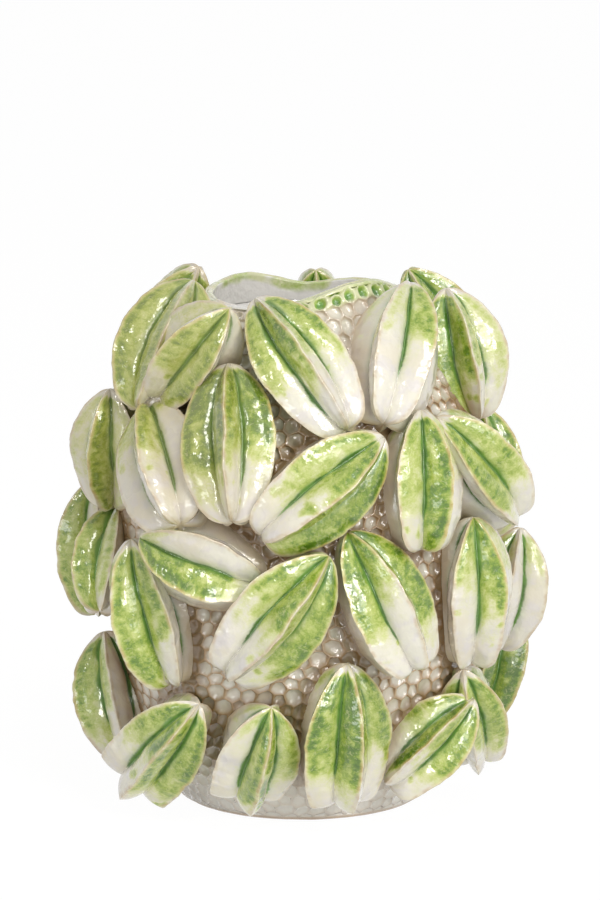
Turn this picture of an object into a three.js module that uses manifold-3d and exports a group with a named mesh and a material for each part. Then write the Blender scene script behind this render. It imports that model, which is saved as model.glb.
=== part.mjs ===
// Hand-built earthenware vase covered in star fruits, in millimetres, +Z up, front towards -Y.
import * as THREE from "three";
import Module from "manifold-3d";

// Vessel.
const FOOT_RADIUS = 63.5;
const BELLY_RADIUS = 102;
const BELLY_HEIGHT = 130;
const MOUTH_RADIUS = 50;
const MOUTH_HEIGHT = 272;
const WALL = 7.5;
const LIP = 4.5;
const BASE_THICKNESS = 8;
const RIM_BAND = 14;
const WALL_DIMPLE = 1;
const RIM_DIMPLE = 1.9;
const GAP = 0.3;
const SLIVER = 0.1;
const AROUND = 36;

// The wall's outline: one curve from the foot to the belly and one from the belly to the mouth.
const LOWER_CURVE = [
  [FOOT_RADIUS, 0],
  [BELLY_RADIUS * 0.8, BELLY_HEIGHT * 0.16],
  [BELLY_RADIUS, BELLY_HEIGHT * 0.54],
  [BELLY_RADIUS, BELLY_HEIGHT],
];
const SHOULDER = MOUTH_HEIGHT - BELLY_HEIGHT;
const UPPER_CURVE = [
  [BELLY_RADIUS, BELLY_HEIGHT],
  [BELLY_RADIUS, BELLY_HEIGHT + SHOULDER * 0.39],
  [BELLY_RADIUS * 0.94, BELLY_HEIGHT + SHOULDER * 0.72],
  [MOUTH_RADIUS, MOUTH_HEIGHT],
];

// Waves of the hand-pinched lip: bearing in degrees, rise and half width.
const LIP_WAVES = [
  { at: 40, rise: 11, spread: 27 },
  { at: -45, rise: -3, spread: 35 },
  { at: -147, rise: 3, spread: 22 },
  { at: 180, rise: -5, spread: 18 },
];

// Heights of the four rows of fruits.
const RIM_ROW_BELOW_MOUTH = 30;
const UPPER_ROW_ABOVE_BELLY = 58;
const LOWER_ROW_BELOW_BELLY = 8;
const FOOT_ROW_HEIGHT = 52;
const ROW_HEIGHT = {
  rim: MOUTH_HEIGHT - RIM_ROW_BELOW_MOUTH,
  upper: BELLY_HEIGHT + UPPER_ROW_ABOVE_BELLY,
  lower: BELLY_HEIGHT - LOWER_ROW_BELOW_BELLY,
  foot: FOOT_ROW_HEIGHT,
};

// Star fruits. Bearing goes round from the front, positive to the right; rise is from the row.
// Lean tips the stem end to the right, spin turns the ribs, pitch lifts the stem end off the wall.
const STANDOFF = 8;
const FRUITS = [
  { row: "rim", bearing: -60, rise: 2, lean: -7, length: 74, radius: 26, spin: -20, pitch: 3 },
  { row: "rim", bearing: -40, rise: 0, lean: 45, length: 68, radius: 24, spin: 9, pitch: 22, standoff: 12 },
  { row: "rim", bearing: 0, rise: -1, lean: -34, length: 86, radius: 24, spin: -2, pitch: 5 },
  { row: "rim", bearing: 36, rise: 1, lean: 29, length: 85, radius: 25, spin: 23, pitch: 8 },
  { row: "rim", bearing: 75, rise: -5, lean: 0, length: 70, radius: 24, spin: 14, pitch: 18, standoff: 7 },
  { row: "rim", bearing: 118, rise: -2, lean: 0, length: 76, radius: 22, spin: 36 },
  { row: "rim", bearing: 144, rise: -18, lean: 0, length: 76, radius: 22, spin: 5 },
  { row: "rim", bearing: 174, rise: -10, lean: 0, length: 76, radius: 22, spin: -26 },
  { row: "rim", bearing: -161, rise: -17, lean: -6, length: 76, radius: 22, spin: 8 },
  { row: "rim", bearing: -120, rise: 1, lean: 4, length: 74, radius: 21, spin: -20 },
  { row: "upper", bearing: -71, rise: 3, lean: 5, length: 64, radius: 22, spin: -33, pitch: 14 },
  { row: "upper", bearing: -42, rise: 2, lean: -38, length: 78, radius: 26, spin: 14, pitch: -10 },
  { row: "upper", bearing: -21, rise: 17, lean: -10, length: 83, radius: 26, spin: 12, pitch: -6 },
  { row: "upper", bearing: 5, rise: -3, lean: 52, length: 82, radius: 26, spin: 18, pitch: 3 },
  { row: "upper", bearing: 35, rise: -4, lean: 4, length: 74, radius: 24, spin: 8, pitch: 3 },
  { row: "upper", bearing: 56, rise: -2, lean: -37, length: 76, radius: 25, spin: 19, pitch: -7, standoff: 11 },
  { row: "upper", bearing: 114, rise: -24, lean: 0, length: 70, radius: 21, spin: 36 },
  { row: "upper", bearing: 131, rise: -4, lean: -10, length: 74, radius: 22, spin: 10 },
  { row: "upper", bearing: 160, rise: -4, lean: -4, length: 74, radius: 22, spin: -14 },
  { row: "upper", bearing: -177, rise: -4, lean: -10, length: 74, radius: 22, spin: 20 },
  { row: "upper", bearing: -149, rise: -6, lean: -2, length: 74, radius: 22, spin: 0 },
  { row: "upper", bearing: -124, rise: -8, lean: -8, length: 72, radius: 22, spin: 30 },
  { row: "lower", bearing: -98, rise: 8, lean: 0, length: 74, radius: 23, spin: 30 },
  { row: "lower", bearing: -71, rise: 12, lean: -24, length: 58, radius: 21, spin: 9, pitch: -17, standoff: 5 },
  { row: "lower", bearing: -45, rise: -7, lean: -10, length: 80, radius: 26, spin: -7, pitch: 8 },
  { row: "lower", bearing: -28, rise: 24, lean: -70, length: 67, radius: 26, spin: -26, pitch: 18 },
  { row: "lower", bearing: -7, rise: -2, lean: 40, length: 84, radius: 26, spin: 12 },
  { row: "lower", bearing: 22, rise: 3, lean: -24, length: 82, radius: 25, spin: 16, pitch: -10 },
  { row: "lower", bearing: 53, rise: 1, lean: -6, length: 82, radius: 25, spin: -5, pitch: 4 },
  { row: "lower", bearing: 83, rise: -8, lean: -3, length: 66, radius: 21, spin: -15, pitch: 6, standoff: 9 },
  { row: "lower", bearing: 126, rise: -8, lean: -8, length: 74, radius: 23, spin: 18 },
  { row: "lower", bearing: 152, rise: 0, lean: 4, length: 76, radius: 23, spin: -20 },
  { row: "lower", bearing: 178, rise: -6, lean: -4, length: 76, radius: 23, spin: 8 },
  { row: "lower", bearing: -156, rise: 0, lean: 6, length: 76, radius: 23, spin: 30 },
  { row: "lower", bearing: -130, rise: -10, lean: -4, length: 74, radius: 23, spin: -10 },
  { row: "foot", bearing: -82, rise: 6, lean: -15, length: 67, radius: 24, spin: 11, pitch: -6, standoff: 7 },
  { row: "foot", bearing: -45, rise: -5, lean: 50, length: 78, radius: 24, spin: 13, pitch: -11, standoff: 14 },
  { row: "foot", bearing: -15, rise: -6, lean: 25, length: 66, radius: 23, spin: 23, pitch: 6, standoff: 10 },
  { row: "foot", bearing: 12, rise: 3, lean: 1, length: 84, radius: 26, spin: 13, pitch: -4 },
  { row: "foot", bearing: 43, rise: -6, lean: 38, length: 66, radius: 21, spin: 18, pitch: 9 },
  { row: "foot", bearing: 63, rise: 2, lean: -32, length: 70, radius: 20, spin: 16, pitch: -8, standoff: 9 },
  { row: "foot", bearing: 103, rise: 16, lean: 0, length: 72, radius: 22, spin: 34 },
  { row: "foot", bearing: 131, rise: 0, lean: -10, length: 72, radius: 22, spin: 10 },
  { row: "foot", bearing: 158, rise: 2, lean: 6, length: 70, radius: 22, spin: -16 },
  { row: "foot", bearing: -174, rise: -4, lean: -6, length: 70, radius: 22, spin: 26 },
  { row: "foot", bearing: -146, rise: -3, lean: 6, length: 68, radius: 22, spin: 0 },
  { row: "foot", bearing: -114, rise: -3, lean: -10, length: 72, radius: 22, spin: 20 },
];

// One star fruit has five ribs; stations run from the stem end to the blossom end.
const RIBS = 5;
const STATIONS = [0, 0.05, 0.2, 0.48, 0.78, 0.95, 1];
const RIB_STEPS = [-0.5, 0, 0.5, 1];
const HIDDEN_RIB_STEPS = [0, 1];
const HIDDEN_BEYOND = 110;
const VALLEY_SHARE = 0.5;

const wasm = await Module();
wasm.setup();
const { Manifold } = wasm;

function rad(degrees) {
  return (degrees * Math.PI) / 180;
}

function curvePoint(curve, t) {
  const s = 1 - t;
  const w = [s * s * s, 3 * s * s * t, 3 * s * t * t, t * t * t];
  return [0, 1].map((k) => curve.reduce((sum, p, i) => sum + p[k] * w[i], 0));
}

// Outside radius of the wall at a height.
function wallRadius(z) {
  const curve = z < BELLY_HEIGHT ? LOWER_CURVE : UPPER_CURVE;
  let low = 0;
  let high = 1;
  for (let i = 0; i < 24; i += 1) {
    const mid = (low + high) / 2;
    if (curvePoint(curve, mid)[1] < z) low = mid;
    else high = mid;
  }
  return curvePoint(curve, (low + high) / 2)[0];
}

// How fast the wall widens with height.
function wallSlope(z) {
  const a = Math.max(z - 2, 0);
  const b = Math.min(z + 2, MOUTH_HEIGHT);
  return (wallRadius(b) - wallRadius(a)) / (b - a);
}

function innerRadius(z) {
  return wallRadius(z) - WALL * Math.hypot(1, wallSlope(z));
}

function lipHeight(bearing) {
  let z = MOUTH_HEIGHT;
  for (const wave of LIP_WAVES) {
    const turn = ((bearing - wave.at + 540) % 360) - 180;
    z += wave.rise * Math.exp(-0.5 * (turn / wave.spread) ** 2);
  }
  return z;
}

// A closed body from loops of points; a loop of one point is a pole.
function loopSolid(loops, ring) {
  const vertices = [];
  const starts = loops.map((loop) => {
    const start = vertices.length / 3;
    loop.forEach((p) => vertices.push(p.x, p.y, p.z));
    return start;
  });
  const triangles = [];
  const last = ring ? loops.length : loops.length - 1;
  for (let i = 0; i < last; i += 1) {
    const j = (i + 1) % loops.length;
    const count = Math.max(loops[i].length, loops[j].length);
    for (let k = 0; k < count; k += 1) {
      const n = (k + 1) % count;
      const a = starts[i] + (loops[i].length > 1 ? k : 0);
      const b = starts[i] + (loops[i].length > 1 ? n : 0);
      const c = starts[j] + (loops[j].length > 1 ? n : 0);
      const d = starts[j] + (loops[j].length > 1 ? k : 0);
      if (a !== b) triangles.push(a, b, c);
      if (c !== d) triangles.push(a, c, d);
    }
  }
  return new Manifold(new wasm.Mesh({
    numProp: 3,
    vertProperties: new Float32Array(vertices),
    triVerts: new Uint32Array(triangles),
  }));
}

// A loop round the vessel; radius and height may follow the bearing; every second point may be dimpled.
function roundLoop(radius, height, dimple = 0, start = 0) {
  return Array.from({ length: AROUND }, (_, k) => {
    const bearing = (360 * k) / AROUND;
    const pressed = (k + start) % 2 === 0 ? dimple : 0;
    const r = (typeof radius === "function" ? radius(bearing) : radius) - pressed;
    const z = typeof height === "function" ? height(bearing) : height;
    return new THREE.Vector3(r * Math.sin(rad(bearing)), -r * Math.cos(rad(bearing)), z);
  });
}

function pole(z) {
  return [new THREE.Vector3(0, 0, z)];
}

function heightsBetween(low, high, count) {
  return Array.from({ length: count }, (_, i) => low + ((high - low) * i) / (count - 1));
}

const RIM_START = MOUTH_HEIGHT - RIM_BAND;
const OUTER_HEIGHTS = heightsBetween(BASE_THICKNESS + GAP, RIM_START - GAP, 10);
const RIM_STEPS = [0, 0.35, 0.7, 0.92];
const RIM_PRESSED = [0.35, 0.7];

// A point of the rim band: share 0 is its foot, 1 the lip.
function rimLoop(share, inset, dimple = 0, start = 0) {
  const z = RIM_START + RIM_BAND * share;
  const height = (b) => RIM_START + (lipHeight(b) - RIM_START) * share;
  return roundLoop(wallRadius(z) - inset, height, dimple, start);
}

function baseSlab() {
  const edge = 1.5;
  return loopSolid([
    pole(0),
    roundLoop(FOOT_RADIUS - edge, 0),
    roundLoop(wallRadius(edge), edge),
    roundLoop(wallRadius(BASE_THICKNESS), BASE_THICKNESS),
    pole(BASE_THICKNESS),
  ]);
}

function vesselWall() {
  const last = OUTER_HEIGHTS.length - 1;
  const dimple = (i) => (i === 0 || i === last ? 0 : WALL_DIMPLE);
  const outside = OUTER_HEIGHTS.map((z, i) => roundLoop(wallRadius(z), z, dimple(i), i));
  const inside = heightsBetween(RIM_START - GAP, BASE_THICKNESS + GAP, 7)
    .map((z) => roundLoop(innerRadius(z), z));
  return loopSolid([...outside, ...inside], true);
}

function rimBand() {
  const foot = WALL * Math.hypot(1, wallSlope(RIM_START));
  const outside = RIM_STEPS.map((s, i) => rimLoop(s, 0, RIM_PRESSED.includes(s) ? RIM_DIMPLE : 0, i));
  const inside = [...RIM_STEPS].reverse().map((s) => rimLoop(s, foot + (LIP - foot) * s));
  return loopSolid([...outside, rimLoop(1, LIP * 0.5), ...inside], true);
}

// The vessel filled in and grown by the gap, to cut the backs of the fruits.
function vesselCore() {
  const grow = (z) => GAP * Math.hypot(1, wallSlope(z)) * 1.1;
  const wall = OUTER_HEIGHTS.map((z) => roundLoop(wallRadius(z) + grow(z), z));
  const rim = RIM_STEPS.map((s) => rimLoop(s, -grow(RIM_START + RIM_BAND * s)));
  const top = roundLoop(MOUTH_RADIUS - LIP * 0.5, (b) => lipHeight(b) + GAP);
  return loopSolid([
    pole(-1),
    roundLoop(FOOT_RADIUS + GAP, -1),
    roundLoop(wallRadius(0) + GAP * 2, 0),
    ...wall,
    ...rim,
    top,
    pole(MOUTH_HEIGHT),
  ]);
}

// Directions on the wall: up along it, right along it, and out of it.
function wallFrame(bearing, z) {
  const b = rad(bearing);
  const out = new THREE.Vector3(Math.sin(b), -Math.cos(b), 0);
  const right = new THREE.Vector3(Math.cos(b), Math.sin(b), 0);
  const up = out.clone().multiplyScalar(wallSlope(z)).setZ(1).normalize();
  const normal = out.clone().addScaledVector(up, -out.dot(up)).normalize();
  const point = out.clone().multiplyScalar(wallRadius(z)).setZ(z);
  return { point, right, up, normal };
}

// Share of the full radius on a ridge, and in a valley, at a station.
function ridgeShare(u) {
  return Math.sin(Math.PI * u) ** (u < 0.5 ? 0.52 : 0.44);
}

function valleyShare(u) {
  return VALLEY_SHARE * Math.sin(Math.PI * u) ** 0.7;
}

// Share of the radius from ridge (step 0) to valley (step 1).
function ribShare(u, step) {
  return ridgeShare(u) + (valleyShare(u) - ridgeShare(u)) * step;
}

// Points round a fruit, as turns from its face; ribs that lie against the wall are plainer.
function ribPoints(spin) {
  const pitch = 360 / RIBS;
  return Array.from({ length: RIBS }, (_, rib) => {
    const ridge = ((spin + pitch * rib + 540) % 360) - 180;
    const steps = Math.abs(ridge) > HIDDEN_BEYOND ? HIDDEN_RIB_STEPS : RIB_STEPS;
    return steps.map((step) => ({ turn: rad(ridge + (step * pitch) / 2), step: Math.abs(step) }));
  }).flat();
}

function fruitSolid(fruit, grow) {
  const height = ROW_HEIGHT[fruit.row] + fruit.rise;
  const { point, right, up, normal } = wallFrame(fruit.bearing, height);
  const lean = rad(fruit.lean);
  const pitch = rad(fruit.pitch ?? 0);
  const along = up.clone().multiplyScalar(Math.cos(lean)).addScaledVector(right, Math.sin(lean));
  const side = right.clone().multiplyScalar(Math.cos(lean)).addScaledVector(up, -Math.sin(lean));
  const stem = along.clone().multiplyScalar(Math.cos(pitch)).addScaledVector(normal, Math.sin(pitch));
  const face = normal.clone().multiplyScalar(Math.cos(pitch)).addScaledVector(along, -Math.sin(pitch));
  const centre = point.addScaledVector(normal, fruit.standoff ?? STANDOFF);
  const length = fruit.length + 2 * grow;
  const radius = fruit.radius + grow;
  const points = ribPoints(fruit.spin);
  const loops = [...STATIONS].reverse().map((u) => {
    const middle = centre.clone().addScaledVector(stem, length * (0.5 - u));
    if (u === 0 || u === 1) return [middle];
    return points.map(({ turn, step }) => {
      const r = radius * ribShare(u, step);
      return middle.clone().addScaledVector(face, r * Math.cos(turn)).addScaledVector(side, r * Math.sin(turn));
    });
  });
  return loopSolid(loops);
}

function largestBody(solid) {
  const bodies = solid.decompose();
  return bodies.reduce((best, body) => (body.volume() > best.volume() ? body : best));
}

function boxesMeet(a, b) {
  const p = a.boundingBox();
  const q = b.boundingBox();
  return [0, 1, 2].every((i) => p.min[i] < q.max[i] && q.min[i] < p.max[i]);
}

// Fruits that stand out furthest keep their shape; the others are cut where they lie behind.
function cutFruits() {
  const core = vesselCore();
  const count = {};
  const placed = FRUITS.map((fruit) => {
    count[fruit.row] = (count[fruit.row] ?? 0) + 1;
    return { name: `fruit_${fruit.row}_${count[fruit.row]}`, fruit };
  });
  const order = [...placed].sort((a, b) => (b.fruit.standoff ?? STANDOFF) - (a.fruit.standoff ?? STANDOFF));
  const grown = [];
  for (const item of order) {
    let solid = fruitSolid(item.fruit, 0);
    for (const other of grown) {
      if (boxesMeet(solid, other)) solid = solid.subtract(other);
    }
    item.solid = largestBody(solid.subtract(core)).simplify(SLIVER);
    grown.push(fruitSolid(item.fruit, GAP));
  }
  return placed;
}

function toMesh(name, solid, look) {
  const mesh = solid.getMesh();
  const geometry = new THREE.BufferGeometry();
  geometry.setAttribute("position", new THREE.BufferAttribute(new Float32Array(mesh.vertProperties), 3));
  geometry.setIndex(new THREE.BufferAttribute(new Uint32Array(mesh.triVerts), 1));
  geometry.computeVertexNormals();
  const part = new THREE.Mesh(geometry, new THREE.MeshStandardMaterial(look));
  part.name = name;
  return part;
}

const GLAZED_WALL = { color: 0xd8cbbb, roughness: 0.3, metalness: 0 };
const GLAZED_RIM = { color: 0xbfcf8a, roughness: 0.25, metalness: 0 };
const BARE_CLAY = { color: 0xd9c0a3, roughness: 0.8, metalness: 0 };
const GLAZED_FRUIT = { color: 0xb3cf7d, roughness: 0.2, metalness: 0 };

const vase = new THREE.Group();
vase.name = "star_fruit_vase";
vase.add(toMesh("base_slab", baseSlab(), BARE_CLAY));
vase.add(toMesh("vessel_wall", vesselWall(), GLAZED_WALL));
vase.add(toMesh("rim_band", rimBand(), GLAZED_RIM));
for (const { name, solid } of cutFruits()) vase.add(toMesh(name, solid, GLAZED_FRUIT));

export default vase;
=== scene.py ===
# Looks of the star fruit vase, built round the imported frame. Sizes are in millimetres until the mesh.
import math
from collections import namedtuple

import bpy
import numpy as np
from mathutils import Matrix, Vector
from mathutils.geometry import delaunay_2d_cdt


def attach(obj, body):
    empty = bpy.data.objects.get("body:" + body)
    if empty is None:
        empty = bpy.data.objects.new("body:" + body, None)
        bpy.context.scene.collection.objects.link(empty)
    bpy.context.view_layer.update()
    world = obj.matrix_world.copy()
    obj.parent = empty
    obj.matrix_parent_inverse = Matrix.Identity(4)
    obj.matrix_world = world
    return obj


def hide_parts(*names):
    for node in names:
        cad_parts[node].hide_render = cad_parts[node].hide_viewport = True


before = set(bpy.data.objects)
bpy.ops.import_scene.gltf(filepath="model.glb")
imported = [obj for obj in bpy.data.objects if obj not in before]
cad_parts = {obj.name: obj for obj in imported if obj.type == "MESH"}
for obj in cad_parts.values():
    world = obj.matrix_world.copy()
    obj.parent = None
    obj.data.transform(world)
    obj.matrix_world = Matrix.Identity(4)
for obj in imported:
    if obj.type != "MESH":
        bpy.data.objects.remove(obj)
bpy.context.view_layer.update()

MM = 0.001

# Vessel outline, as in the part's source
FOOT_RADIUS, BELLY_RADIUS, BELLY_HEIGHT = 63.5, 102.0, 130.0
MOUTH_RADIUS, MOUTH_HEIGHT = 50.0, 272.0
WALL, LIP, BASE_THICKNESS, RIM_BAND = 7.5, 4.5, 8.0, 14.0
RIM_START = MOUTH_HEIGHT - RIM_BAND
SHOULDER = MOUTH_HEIGHT - BELLY_HEIGHT
LOWER_CURVE = np.array([(FOOT_RADIUS, 0), (BELLY_RADIUS * 0.8, BELLY_HEIGHT * 0.16),
                        (BELLY_RADIUS, BELLY_HEIGHT * 0.54), (BELLY_RADIUS, BELLY_HEIGHT)], float)
UPPER_CURVE = np.array([(BELLY_RADIUS, BELLY_HEIGHT), (BELLY_RADIUS, BELLY_HEIGHT + SHOULDER * 0.39),
                        (BELLY_RADIUS * 0.94, BELLY_HEIGHT + SHOULDER * 0.72),
                        (MOUTH_RADIUS, MOUTH_HEIGHT)], float)

# Waves of the lip: bearing, rise and spread
LIP_WAVES = [(40, 11, 27), (-45, -3, 35), (-147, 3, 22), (180, -5, 18)]

# The throat inside the rim, and how far below the rim the wall starts to close in to it
THROAT, THROAT_RUN = 46.3, 20

# Fruits: row, bearing, rise, lean, length, radius, spin, pitch, standoff. Then, for the five flanks
# that face the front, from left to right, in percent: how far the green reaches from the stem, and how
# deep it is. The last is how widely the ribs spread at the blossom end. The back takes the defaults.
ROW_HEIGHT = {"rim": 242, "upper": 188, "lower": 122, "foot": 52}
Fruit = namedtuple("Fruit", "row bearing rise lean length radius spin pitch standoff reaches depths flare",
                   defaults=(0, 8, (), (), 0.2))
FRUITS = [Fruit(*values) for values in [
    ("rim", -60, 2, -7, 74, 26, -20, 3, 8, (100, 95, 75, 30, 20), (60, 55, 40, 30, 20)),
    ("rim", -40, 0, 45, 68, 24, 9, 22, 12, (0, 60, 85, 10, 0), (0, 60, 55, 20, 0), 0.3),
    ("rim", 0, -1, -34, 86, 24, -2, 5, 8, (60, 50, 65, 50, 50), (60, 55, 75, 40, 60), 0.35),
    ("rim", 36, 1, 29, 85, 25, 23, 8, 8, (30, 45, 35, 45, 60), (10, 20, 15, 50, 45), 0.45),
    ("rim", 75, -5, 0, 70, 24, 14, 18, 7, (100, 95, 70, 60, 75), (75, 70, 65, 35, 20)),
    ("rim", 118, -2, 0, 76, 22, 36),
    ("rim", 144, -18, 0, 76, 22, 5),
    ("rim", 174, -10, 0, 76, 22, -26, 0, 8, (90, 90, 90, 90, 90), (60, 60, 70, 60, 60)),
    ("rim", -161, -17, -6, 76, 22, 8),
    ("rim", -120, 1, 4, 74, 21, -20),
    ("upper", -71, 3, 5, 64, 22, -33, 14, 8, (80, 90, 95, 90, 30), (15, 30, 60, 15, 10)),
    ("upper", -42, 2, -38, 78, 26, 14, -10, 8, (35, 30, 45, 15, 10), (30, 35, 60, 20, 10), 0.5),
    ("upper", -21, 17, -10, 83, 26, 12, -6, 8, (70, 75, 62, 55, 60), (95, 85, 55, 100, 100), 0.15),
    ("upper", 5, -3, 52, 82, 26, 18, 3, 8, (75, 65, 50, 90, 100), (40, 45, 65, 45, 75), 0.35),
    ("upper", 35, -4, 4, 74, 24, 8, 3, 8, (10, 40, 70, 100, 100), (20, 50, 35, 80, 60), 0.45),
    ("upper", 56, -2, -37, 76, 25, 19, -7, 11, (0, 0, 75, 65, 50), (0, 0, 60, 50, 40)),
    ("upper", 114, -24, 0, 70, 21, 36),
    ("upper", 131, -4, -10, 74, 22, 10),
    ("upper", 160, -4, -4, 74, 22, -14),
    ("upper", -177, -4, -10, 74, 22, 20),
    ("upper", -149, -6, -2, 74, 22, 0),
    ("upper", -124, -8, -8, 72, 22, 30),
    ("lower", -98, 8, 0, 74, 23, 30, 0, 8, (95, 95, 20, 20, 20), (65, 50, 10, 10, 10)),
    ("lower", -71, 12, -24, 58, 21, 9, -17, 5, (35, 100, 80, 10, 0), (30, 55, 30, 20, 0)),
    ("lower", -45, -7, -10, 80, 26, -7, 8, 8, (80, 95, 60, 30, 20), (50, 60, 60, 10, 10), 0.3),
    ("lower", -28, 24, -70, 67, 26, -26, 18, 8, (80, 75, 20, 25, 10), (70, 85, 25, 40, 20), 0.25),
    ("lower", -7, -2, 40, 84, 26, 12, 0, 8, (55, 45, 55, 65, 80), (70, 60, 60, 30, 60), 0.4),
    ("lower", 22, 3, -24, 82, 25, 16, -10, 8, (70, 60, 35, 55, 70), (95, 75, 60, 60, 75), 0.45),
    ("lower", 53, 1, -6, 82, 25, -5, 4, 8, (0, 10, 35, 55, 65), (0, 10, 50, 65, 60), 0.4),
    ("lower", 83, -8, -3, 66, 21, -15, 6, 9, (20, 15, 0, 25, 75), (60, 30, 0, 25, 70), 0.1),
    ("lower", 126, -8, -8, 74, 23, 18),
    ("lower", 152, 0, 4, 76, 23, -20),
    ("lower", 178, -6, -4, 76, 23, 8),
    ("lower", -156, 0, 6, 76, 23, 30),
    ("lower", -130, -10, -4, 74, 23, -10),
    ("foot", -82, 6, -15, 67, 24, 11, -6, 7, (80, 60, 10, 10, 10), (50, 35, 20, 10, 10), 0.3),
    ("foot", -45, -5, 47, 78, 24, 13, -11, 14, (50, 45, 75, 80, 60), (60, 65, 55, 60, 65), 1.0),
    ("foot", -14, -5, 20, 66, 23, 23, 6, 10, (0, 25, 90, 95, 60), (0, 20, 60, 60, 35), 0.95),
    ("foot", 12, 3, 1, 84, 26, 13, -4, 8, (60, 60, 70, 50, 55), (70, 85, 100, 65, 65), 0.7),
    ("foot", 43, -6, 38, 66, 21, 18, 9, 8, (50, 85, 60, 70, 90), (50, 90, 40, 60, 70), 0.6),
    ("foot", 63, 2, -32, 70, 20, 16, -8, 9, (30, 50, 60, 75, 80), (30, 30, 40, 50, 55), 0.6),
    ("foot", 103, 16, 0, 72, 22, 34, 0, 8, (95, 95, 95, 95, 95), (80, 90, 95, 90, 80)),
    ("foot", 131, 0, -10, 72, 22, 10),
    ("foot", 158, 2, 6, 70, 22, -16),
    ("foot", -174, -4, -6, 70, 22, 26),
    ("foot", -146, -3, 6, 68, 22, 0),
    ("foot", -114, -3, -10, 72, 22, 20),
]]


# Numbers and noise

HASH_PRIMES = np.array([73856093, 19349663, 83492791], np.uint64)
HASH_SEED = 2654435761
HASH_ROUNDS = ((15, 0x2C1B3C6D), (12, 0x297A2D39), (15, 0x5BD1E995))
NOISE_GAIN = 1.6


def noise(points, seed):
    """Smooth gradient noise of about -1 to 1."""
    cell = np.floor(points).astype(np.int64)
    part = points - cell
    fade = part * part * part * (part * (part * 6 - 15) + 10)
    total = np.zeros(len(points))
    for corner in range(8):
        step = np.array([corner & 1, corner >> 1 & 1, corner >> 2 & 1])
        x, y, z = ((cell + step).astype(np.uint64) * HASH_PRIMES).T
        h = x ^ y ^ z ^ np.uint64((seed * HASH_SEED) & 0xFFFFFFFF)
        for shift, times in HASH_ROUNDS:
            h = ((h ^ (h >> np.uint64(shift))) * np.uint64(times)) & np.uint64(0xFFFFFFFF)
        slope = np.stack([h >> np.uint64(shift) & np.uint64(1023) for shift in (0, 10, 20)], 1) / 511.5 - 1
        weight = np.prod(np.where(step, fade, 1 - fade), 1)
        total += weight * np.sum(slope * (part - step), 1)
    return total * NOISE_GAIN


def smooth(low, high, x):
    """Rises gently from 0 at low to 1 at high, or falls where low is the greater."""
    t = np.clip((x - low) / (high - low), 0, 1)
    return t * t * (3 - 2 * t)


def hill(x, middle, width):
    """A rounded hill, 1 at its middle."""
    return np.exp(-((x - middle) / width) ** 2)


def turn_from(reference, bearing):
    """The turn from one bearing to another, from -180 to 180 degrees."""
    return (bearing - reference + 540) % 360 - 180


def bearing_of(points):
    return np.degrees(np.arctan2(points[:, 0], -points[:, 1]))


def round_points(bearing, radius, z):
    b = np.radians(bearing)
    return np.stack(np.broadcast_arrays(radius * np.sin(b), -radius * np.cos(b), z), -1)


# The vessel's form

CURVE_STEPS = 1500
SLOPE_STEP = 2


def curve_points(curve, t):
    s = 1 - t
    w = np.stack([s ** 3, 3 * s * s * t, 3 * s * t * t, t ** 3], -1)
    return w @ curve


T = np.linspace(0, 1, CURVE_STEPS)
OUTLINE = np.vstack([curve_points(LOWER_CURVE, T), curve_points(UPPER_CURVE, T)[1:]])
ARC = np.concatenate([[0], np.cumsum(np.linalg.norm(np.diff(OUTLINE, axis=0), axis=1))])


def arc_at(z):
    """Distance up the outline at a height."""
    return np.interp(z, OUTLINE[:, 1], ARC)


def wall_radius(z):
    return np.interp(z, OUTLINE[:, 1], OUTLINE[:, 0])


def wall_slope(z):
    below = np.maximum(np.asarray(z, float) - SLOPE_STEP, 0)
    above = np.minimum(np.asarray(z, float) + SLOPE_STEP, MOUTH_HEIGHT)
    return (wall_radius(above) - wall_radius(below)) / (above - below)


def inner_radius(z):
    full = wall_radius(z) - WALL * np.hypot(1, wall_slope(z))
    return full + (THROAT - full) * smooth(RIM_START - THROAT_RUN, RIM_START, z)


def lip_height(bearing):
    z = np.full(np.shape(bearing), MOUTH_HEIGHT)
    for at, rise, spread in LIP_WAVES:
        z = z + rise * np.exp(-0.5 * (turn_from(at, bearing) / spread) ** 2)
    return z


# Objects

def new_object(name, data):
    obj = bpy.data.objects.new(name, data)
    bpy.context.scene.collection.objects.link(obj)
    return obj


def make_mesh(name, points, faces, attributes=None):
    """A smooth mesh. An attribute has one number or three for each point."""
    mesh = bpy.data.meshes.new(name)
    mesh.from_pydata((np.asarray(points) * MM).tolist(), [], [list(map(int, f)) for f in faces])
    mesh.update()
    mesh.polygons.foreach_set("use_smooth", [True] * len(mesh.polygons))
    for key, values in (attributes or {}).items():
        values = np.asarray(values, np.float32)
        if values.ndim == 1:
            mesh.attributes.new(key, "FLOAT", "POINT").data.foreach_set("value", values)
        else:
            mesh.attributes.new(key, "FLOAT_VECTOR", "POINT").data.foreach_set("vector", values.ravel())
    mesh.update()
    return new_object(name, mesh)


def grid_faces(rows, columns, start=0, closed=False):
    """Quads between loops of points; closed joins the last loop to the first."""
    i = np.arange(rows if closed else rows - 1)[:, None]
    k = np.arange(columns)[None, :]
    n, j = (k + 1) % columns, (i + 1) % rows
    quads = np.broadcast_arrays(i * columns + k, i * columns + n, j * columns + n, j * columns + k)
    return [tuple(quad) for quad in np.stack(quads, -1).reshape(-1, 4) + start]


def lathe(loops, bearings):
    """Points of loops, each with a radius and a height."""
    return np.vstack([round_points(bearings, r, z) for r, z in loops])


def dress(obj, material, node):
    obj.data.materials.append(material)
    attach(obj, "root")
    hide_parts(node)


# Materials

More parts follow.
